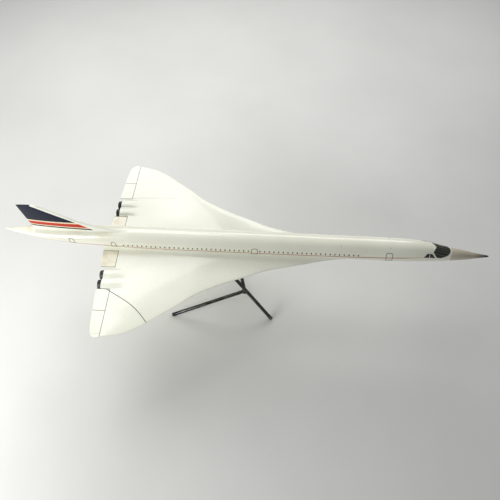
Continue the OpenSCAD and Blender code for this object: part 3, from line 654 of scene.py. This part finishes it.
for side in ("port", "starboard"):
    node = "nacelle_" + side
    nacelle = mergedCopy(node)
    applyModifier(nacelle, "BEVEL", width=nacelleEdge["width"] * mm, segments=nacelleEdge["segments"],
                  limit_method="ANGLE", angle_limit=math.radians(nacelleEdge["angle"]))
    settle(nacelle, "nacelle" + side.capitalize(), "aircraft", "white_nacelle", wingPaint, [node], smooth=30)

# The wing swells over each pair of exhausts and fades out ahead of them
engine = {"middle": 74.5, "apart": 8.89, "swellHalf": 9.3, "swellHigh": 2.7, "roundness": 0.75, "seat": 0.04,
          "front": 630, "fadeEnd": 664, "back": 675, "inner": 55.25, "outer": 93.75, "floor": -17,
          "columns": 48, "rows": 64}


def exhaustSwell(s, y):
    # the upper skin with a rounded rise over each of the two ducts, and a crease between them
    ramped = min(1, max(0, (s - engine["front"]) / (engine["fadeEnd"] - engine["front"])))
    ramped = ramped * ramped * (3 - 2 * ramped)
    off = abs(abs(y - engine["middle"]) - engine["apart"]) / engine["swellHalf"]
    rise = engine["swellHigh"] * ramped * max(0, 1 - off**2)**engine["roundness"]
    return wingHalfAt(s, y) - wing["drop"] + engine["seat"] + rise


def swellOver(side):
    # shaped top with straight walls down into the nacelle
    deselectAll()
    bpy.ops.mesh.primitive_grid_add(x_subdivisions=engine["columns"], y_subdivisions=engine["rows"], size=2)
    obj = bpy.context.object
    for vertex in obj.data.vertices:
        s = engine["front"] + (engine["back"] - engine["front"]) * (vertex.co.x + 1) / 2
        y = engine["inner"] + (engine["outer"] - engine["inner"]) * (vertex.co.y + 1) / 2
        vertex.co = Vector((noseX - s, side * y, hull["axis"] + exhaustSwell(s, y))) * mm
    faceOut(obj, side < 0)
    editAll(obj)
    bpy.ops.mesh.extrude_region_move(TRANSFORM_OT_translate={"value": (0, 0, -mm)})
    bpy.ops.transform.resize(value=(1, 1, 0), center_override=(0, 0, (hull["axis"] + engine["floor"]) * mm))
    closeSurface()
    return obj


for side in (1, -1):
    swell = swellOver(side)
    settle(swell, "exhaustSwell" + sideName(side), "aircraft", "white_nacelle", wingPaint, smooth=40)
print("engines ready")


def flatGrid(columns, rows, place):
    # a grid whose corners are placed by share along and share across
    deselectAll()
    bpy.ops.mesh.primitive_grid_add(x_subdivisions=columns, y_subdivisions=rows, size=2)
    obj = bpy.context.object
    for vertex in obj.data.vertices:
        vertex.co = place((vertex.co.x + 1) / 2, (vertex.co.y + 1) / 2)
    return obj


def thicken(obj, thick):
    applyModifier(obj, "SOLIDIFY", thickness=thick * mm, offset=1.0)


# The visor's front edge sweeps back to its sides. Its back edge has a notch in the middle and cut corners.
screen = {"front": 74.5, "back": 107.5, "sweep": 10.5, "cornerSweep": 7, "notch": 5.5, "notchEnd": 2.2,
          "cut": 8.5, "cutFrom": 0.55, "wrap": 70, "seat": 0.2, "thick": 0.3, "columns": 24, "rows": 60,
          "paneColumns": 8, "paneRows": 8}


def screenPoint(along, across):
    angle = screen["wrap"] * (2 * across - 1)
    u = abs(2 * across - 1)
    front = screen["front"] + screen["sweep"] * u**2 + screen["cornerSweep"] * u**6
    end = (screen["back"] - screen["notch"] * (1 - min(1, screen["notchEnd"] * u))
           - screen["cut"] * max(0, (u - screen["cutFrom"]) / (1 - screen["cutFrom"])))
    return onHull(front + (end - front) * along, angle, screen["seat"])


visor = flatGrid(screen["columns"], screen["rows"], screenPoint)
thicken(visor, screen["thick"])
settle(visor, "visor", "aircraft", "dark_glazing", visorDark, ["windscreen"])

# lower and upper edge of each pane: its angle, and where it starts and ends behind the visor
paneForms = [((71, -5, 4.2), (47, 2.7, 6.9)), ((71, 6.4, 15.7), (47, 8.1, 11.2))]
panes = []
for side in (-1, 1):
    for low, high in paneForms:
        def panePoint(along, across, low=low, high=high, side=side):
            angle, start, end = [a + (b - a) * across for a, b in zip(low, high)]
            return onHull(screen["back"] + start + (end - start) * along, side * angle, screen["seat"])
        pane = flatGrid(screen["paneColumns"], screen["paneRows"], panePoint)
        faceOut(pane, side < 0)
        thicken(pane, screen["thick"])
        panes.append(pane)
settle(joined(panes), "sidePanes", "aircraft", "dark_glazing", paneBlack, ["side_panes"])
print("glazing ready")

# Printed marks on the hull, placed by station and by degrees from the crown
marks = {"windowRows": [(645.8, 426.9), (406.6, 236.3)], "windowPitch": 8.11, "windowSize": (2.3, 11.5),
         "windowHeight": 3.9, "windowRise": 0.0052, "windowLift": 0.05, "windowSides": 12, "inkThick": 0.08,
         "doors": [(736, 57, 106, 4.3, 0.04), (663, 66, 114, 4.4, 0), (416, 62, 104, 5.7, 0),
                   (182.7, 52, 106, 5.8, 0.07)],  # station, top and bottom angles, half width, lean
         "doorCorner": 4, "cornerSegments": 6, "doorLine": 0.95, "lineCuts": 3, "doorLift": 0.06,
         "stripe": [(800, 100), (740, 100), (700, 98), (640, 96), (560, 94), (470, 92), (380, 91), (300, 89),
                    (250, 87), (200, 83), (150, 76.5), (118, 70)],
         "stripeWidth": 1.8, "stripePoint": 0.12, "frontTaper": 45, "backTaper": 60, "stripeLift": 0.03,
         "stripeThick": 0.06, "stripeColumns": 200,
         "dots": [(183.6, 29), (268, 29.9)], "dotSize": 1.3, "dotSides": 16, "dotRim": 0.2, "dotHigh": 0.1,
         "dotLift": 0.05}
# millimetres round the hull's side in a degree
perDegree = math.radians(1) * (hull["halfWidth"] + hull["halfHeight"]) / 2


def wrapOnHull(obj, lift, side):
    for vertex in obj.data.vertices:
        vertex.co = onHull(vertex.co.x / mm, side * vertex.co.y / mm, lift)
    faceOut(obj, side > 0)


def windowRow(side):
    pitch = marks["windowPitch"]
    stations = [first - pitch * i for first, last in marks["windowRows"]
                for i in range(round((first - last) / pitch) + 1)]
    deselectAll()
    bpy.ops.object.add(type="MESH")
    obj = bpy.context.object
    bpy.ops.object.mode_set(mode="EDIT")
    for s in stations:
        width, middle, height = hullRing(s)
        z = marks["windowHeight"] + (stations[0] - s) * marks["windowRise"]
        at = (s * mm, math.degrees(math.acos((z - middle) / height)) * mm, 0)
        bpy.ops.mesh.primitive_circle_add(vertices=marks["windowSides"], radius=mm / 2, fill_type="NGON",
                                          location=at)
        bpy.ops.transform.resize(value=(*marks["windowSize"], 1), center_override=at)
    bpy.ops.object.mode_set(mode="OBJECT")
    wrapOnHull(obj, marks["windowLift"], side)
    thicken(obj, marks["inkThick"])
    settle(obj, "windows" + sideName(side), "aircraft", "dark_glazing", windowInk)


def doorOutlines(side):
    # each outline is a plate with rounded corners, inset to a thin ring
    rings = []
    for centre, top, bottom, half, lean in marks["doors"]:
        deselectAll()
        bpy.ops.mesh.primitive_plane_add(size=2)
        obj = bpy.context.object
        tall = (bottom - top) * perDegree / 2
        obj.scale = (half * mm, tall * mm, 1)
        bpy.ops.object.transform_apply(scale=True)
        editAll(obj)
        bpy.ops.mesh.bevel(offset=marks["doorCorner"] * mm, segments=marks["cornerSegments"],
                           affect="VERTICES")
        bpy.ops.mesh.inset(thickness=marks["doorLine"] * mm)
        bpy.ops.mesh.delete(type="FACE")
        bpy.ops.mesh.select_all(action="SELECT")
        bpy.ops.mesh.subdivide(number_cuts=marks["lineCuts"])
        bpy.ops.object.mode_set(mode="OBJECT")
        for vertex in obj.data.vertices:
            vertex.co.x += (centre - lean * vertex.co.y / mm / perDegree) * mm
            vertex.co.y = ((top + bottom) / 2 + vertex.co.y / mm / perDegree) * mm
        rings.append(obj)
    lines = joined(rings)
    wrapOnHull(lines, marks["doorLift"], side)
    thicken(lines, marks["inkThick"])
    settle(lines, "doorLines" + sideName(side), "aircraft", "dark_glazing", greyInk)


def cabinStripe(side):
    # the stripe tapers towards both ends
    path = sorted(marks["stripe"])

    def place(along, across):
        s = path[0][0] + (path[-1][0] - path[0][0]) * along
        angle = curveThrough(path, 1, s)
        frontTaper = min(1, (s - path[0][0]) / marks["frontTaper"])
        backTaper = min(1, (path[-1][0] - s) / marks["backTaper"])
        fullness = marks["stripePoint"] + (1 - marks["stripePoint"]) * frontTaper * backTaper
        width = marks["stripeWidth"] * fullness / perDegree
        return onHull(s, side * (angle + width * (across - 0.5)), marks["stripeLift"])
    obj = flatGrid(marks["stripeColumns"], 2, place)
    faceOut(obj, side < 0)
    thicken(obj, marks["stripeThick"])
    settle(obj, "stripe" + sideName(side), "aircraft", "white_hull", redInk)


def pinDots(side):
    # two pin-head dots below the crown, each a disc with a sloping rim
    dots = []
    for s, angle in marks["dots"]:
        deselectAll()
        bpy.ops.mesh.primitive_circle_add(vertices=marks["dotSides"], radius=marks["dotSize"] / 2 * mm,
                                          fill_type="NGON")
        obj = bpy.context.object
        bpy.ops.object.mode_set(mode="EDIT")
        bpy.ops.mesh.inset(thickness=marks["dotRim"] * mm, depth=marks["dotHigh"] * mm)
        bpy.ops.object.mode_set(mode="OBJECT")
        across = math.radians(1) * hull["halfWidth"]
        for vertex in obj.data.vertices:
            x, y, z = vertex.co / mm
            vertex.co = onHull(s + x, side * (angle + y / across), marks["dotLift"] + z)
        faceOut(obj, side > 0)
        dots.append(obj)
    settle(joined(dots), "dots" + sideName(side), "aircraft", "dark_glazing", windowInk)


for side in (-1, 1):
    pinDots(side)
    windowRow(side)
    doorOutlines(side)
    cabinStripe(side)
print("markings ready")


# Lines on the wings: a seam on each, and the hinge and end lines of the elevons, which lie lower
lines = {"seamStarboard": [(664.7, -94.5), (660.3, -97.0), (638.2, -108.6), (623.6, -116.8), (608.6, -127.4),
                           (596.4, -138.7), (586.1, -149.9)], "starboardWidth": 1.1,
         "seamPort": [(659.4, 96.9), (574.1, 100.2)], "portWidth": 0.5, "seamLift": 0.03, "seamThick": 0.08,
         "hingeWidth": 0.9, "hingeBack": 0.2, "tipGap": 1, "cutWidth": 0.8, "cutGap": 0.8, "lift": 0.01,
         "thick": 0.06, "columns": 60}


def wingRibbon(name, path, width, material, lift, thick):
    # ribbon on the upper face of a wing through plan points (station, distance from the middle)
    lengths = [0]
    for a, b in zip(path, path[1:]):
        lengths.append(lengths[-1] + math.dist(a, b))
    table = [(length, s, y) for length, (s, y) in zip(lengths, path)]

    def pointAt(share):
        want = share * lengths[-1]
        if len(path) == 2:
            return tuple(a + (b - a) * share for a, b in zip(path[0], path[1]))
        return curveThrough(table, 1, want), curveThrough(table, 2, want)

    def place(along, across):
        s, y = pointAt(along)
        s1, y1 = pointAt(min(1, along + 0.01))
        s0, y0 = pointAt(max(0, along - 0.01))
        length = math.dist((s0, y0), (s1, y1))
        ds, dy = (s1 - s0) / length, (y1 - y0) / length
        shift = width * (across - 0.5)
        return onWing(s - dy * shift, y + ds * shift, lift)
    obj = flatGrid(lines["columns"], 2, place)
    thicken(obj, thick)
    settle(obj, name, "aircraft", "white_wing", material)


wingRibbon("seamStarboard", lines["seamStarboard"], lines["starboardWidth"], greyInk, lines["seamLift"],
           lines["seamThick"])
wingRibbon("seamPort", lines["seamPort"], lines["portWidth"], faintInk, lines["seamLift"], lines["seamThick"])
for side in (-1, 1):
    for part, (start, stop) in elevonSpans.items():
        # the outermost line runs on to the wing's edge
        last = stop if part != "outer" else wing["halfSpan"] - lines["tipGap"]
        hinge = [(hingeAt(y) + lines["hingeBack"], side * y) for y in (start, last)]
        wingRibbon("hinge" + part.capitalize() + sideName(side), hinge, lines["hingeWidth"], greyInk,
                   lines["lift"], lines["thick"])
        for y in (start, stop) if part != "outer" else ():
            cut = [(hingeAt(y), side * y), (wingEdge(y, 2) - lines["cutGap"], side * y)]
            wingRibbon("cut%s%d%s" % (part.capitalize(), y, sideName(side)), cut, lines["cutWidth"], greyInk,
                       lines["lift"], lines["thick"])
print("lines ready")

# Camera at the photograph's place
camera = {"place": (0.01441, -0.33966, 0.76709), "lens": 27.26, "sensor": 36, "nearest": 0.01,
          "right": (0.9988, 0.0475, 0.0085), "up": (-0.0456, 0.871, 0.4892), "back": (0.0158, -0.489, 0.8721)}
cameraData = bpy.data.cameras.new("photoCamera")
cameraData.lens = camera["lens"]
cameraData.sensor_width = camera["sensor"]
cameraData.clip_start = camera["nearest"]
cameraObject = bpy.data.objects.new("photoCamera", cameraData)
bpy.context.scene.collection.objects.link(cameraObject)
cameraObject.matrix_world = Matrix.Translation(camera["place"]) @ Matrix(
    (camera["right"], camera["up"], camera["back"])).transposed().to_4x4()
bpy.context.scene.camera = cameraObject

# Plain paper floor and soft lights, each light with its place, size, target and watts
studio = {"floorSize": 6, "floorDrop": 0.0005, "world": ("#f2f4f6", 0.26), "paper": ("#dcdcd8", "#d6d6d2"),
          "lights": [("windowBox", (-0.62, 0.75, 1.15), (0.9, 1.0), (-0.25, 0, 0.17), 10),
                     ("backBox", (0.4, 1.3, 1.1), (1.4, 0.5), (0.15, 0, 0.19), 9),
                     ("sideBox", (-0.85, -0.55, 0.5), (0.5, 0.5), (-0.38, 0, 0.19), 7)]}
deselectAll()
bpy.ops.mesh.primitive_plane_add(size=studio["floorSize"], location=(0, 0, -studio["floorDrop"]))
floor = bpy.context.object
floor.name = "floor"
floor.data.materials.append(plainFinish("floorPaper", *studio["paper"], 300, (0.55, 0.65), 0.02, 2, IOR=1.45))
for name, place, (wide, high), target, power in studio["lights"]:
    light = bpy.data.lights.new(name, "AREA")
    light.shape = "RECTANGLE"
    light.size, light.size_y = wide, high
    light.energy = power
    lamp = bpy.data.objects.new(name, light)
    lamp.location = place
    lamp.rotation_euler = (Vector(target) - Vector(place)).to_track_quat("-Z", "Y").to_euler()
    lamp.visible_camera = False
    bpy.context.scene.collection.objects.link(lamp)
world = bpy.data.worlds.new("studioWorld")
world.use_nodes = True
background = world.node_tree.nodes["Background"]
background.inputs[0].default_value = linear(studio["world"][0])
background.inputs[1].default_value = studio["world"][1]
bpy.context.scene.world = world
# plain colour response, which keeps the photograph's whites
bpy.context.scene.view_settings.view_transform = "Standard"
print("stage ready")
